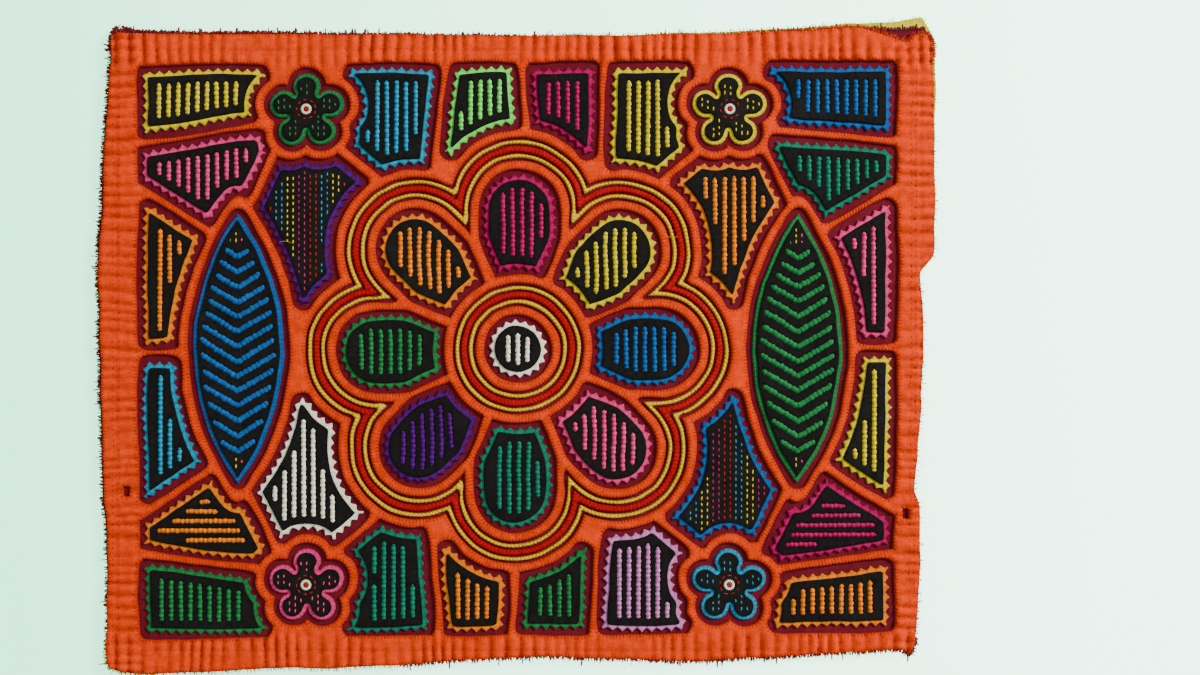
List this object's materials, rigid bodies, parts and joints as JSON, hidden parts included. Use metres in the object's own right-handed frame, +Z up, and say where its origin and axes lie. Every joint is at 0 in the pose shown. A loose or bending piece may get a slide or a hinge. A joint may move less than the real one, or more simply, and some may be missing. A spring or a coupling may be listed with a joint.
{
  "type": "mola panel",
  "caption": "Flat hand-sewn textile panel of layered cotton with cut-through windows, inlaid coloured patches and echo channels.",
  "frame": {"origin": "centre of the panel's bounding box, on the surface that it lies on", "axes": "+X along the panel's long side to the right, +Y towards its top edge, +Z up out of its face"},
  "size_m": [0.4298, 0.3368, 0.0049],
  "materials": {
    "backing_yellow": "plain woven cotton, matt",
    "maroon": "plain woven cotton, matt",
    "orange": "plain woven cotton, matt",
    "strip_yellow": "plain woven cotton, matt",
    "red": "plain woven cotton, matt",
    "black": "plain woven cotton, matt",
    "lemon": "plain woven cotton, matt",
    "gold": "plain woven cotton, matt",
    "blue": "plain woven cotton, matt",
    "sky": "plain woven cotton, matt",
    "green": "plain woven cotton, matt",
    "teal": "plain woven cotton, matt",
    "lime": "plain woven cotton, matt",
    "magenta": "plain woven cotton, matt",
    "pink": "plain woven cotton, matt",
    "lilac": "plain woven cotton, matt",
    "violet": "plain woven cotton, matt",
    "white": "plain woven cotton, matt"
  },
  "bodies": {
    "root": {"backing_cloth": "backing_yellow", "blossom_1_insert": "green", "blossom_2_insert": "lemon", "blossom_3_insert": "pink", "blossom_4_insert": "sky", "flower_ground": "orange", "flower_inner_strip": "strip_yellow", "flower_outer_strip": "strip_yellow", "flower_red_strip": "red", "ground_10_insert": "blue", "ground_11_insert": "teal", "ground_12_insert": "pink", "ground_13_insert": "green", "ground_14_insert": "gold", "ground_15_insert": "sky", "ground_16_insert": "white", "ground_17_insert": "teal", "ground_18_insert": "gold", "ground_19_insert": "green", "ground_1_insert": "lemon", "ground_20_insert": "lilac", "ground_21_insert": "blue", "ground_22_insert": "gold", "ground_23_insert": "magenta", "ground_24_insert": "lemon", "ground_2_insert": "pink", "ground_3_insert": "gold", "ground_4_insert": "violet", "ground_5_insert": "sky", "ground_6_insert": "lime", "ground_7_insert": "magenta", "ground_8_insert": "lemon", "ground_9_insert": "gold", "heart_ground": "orange", "heart_insert": "white", "leaf_left_insert": "blue", "leaf_left_patch": "black", "leaf_right_insert": "green", "leaf_right_patch": "black", "middle_cloth": "maroon", "petal_1_insert": "blue", "petal_1_patch": "black", "petal_2_insert": "lemon", "petal_2_patch": "black", "petal_3_insert": "magenta", "petal_3_patch": "black", "petal_4_insert": "gold", "petal_4_patch": "black", "petal_5_insert": "green", "petal_5_patch": "black", "petal_6_insert": "violet", "petal_6_patch": "black", "petal_7_insert": "teal", "petal_7_patch": "black", "petal_8_insert": "pink", "petal_8_patch": "black", "ring_inner_strip": "strip_yellow", "ring_outer_strip": "strip_yellow", "ring_red_strip": "red", "top_cloth": "orange"}
  },
  "joints": []
}
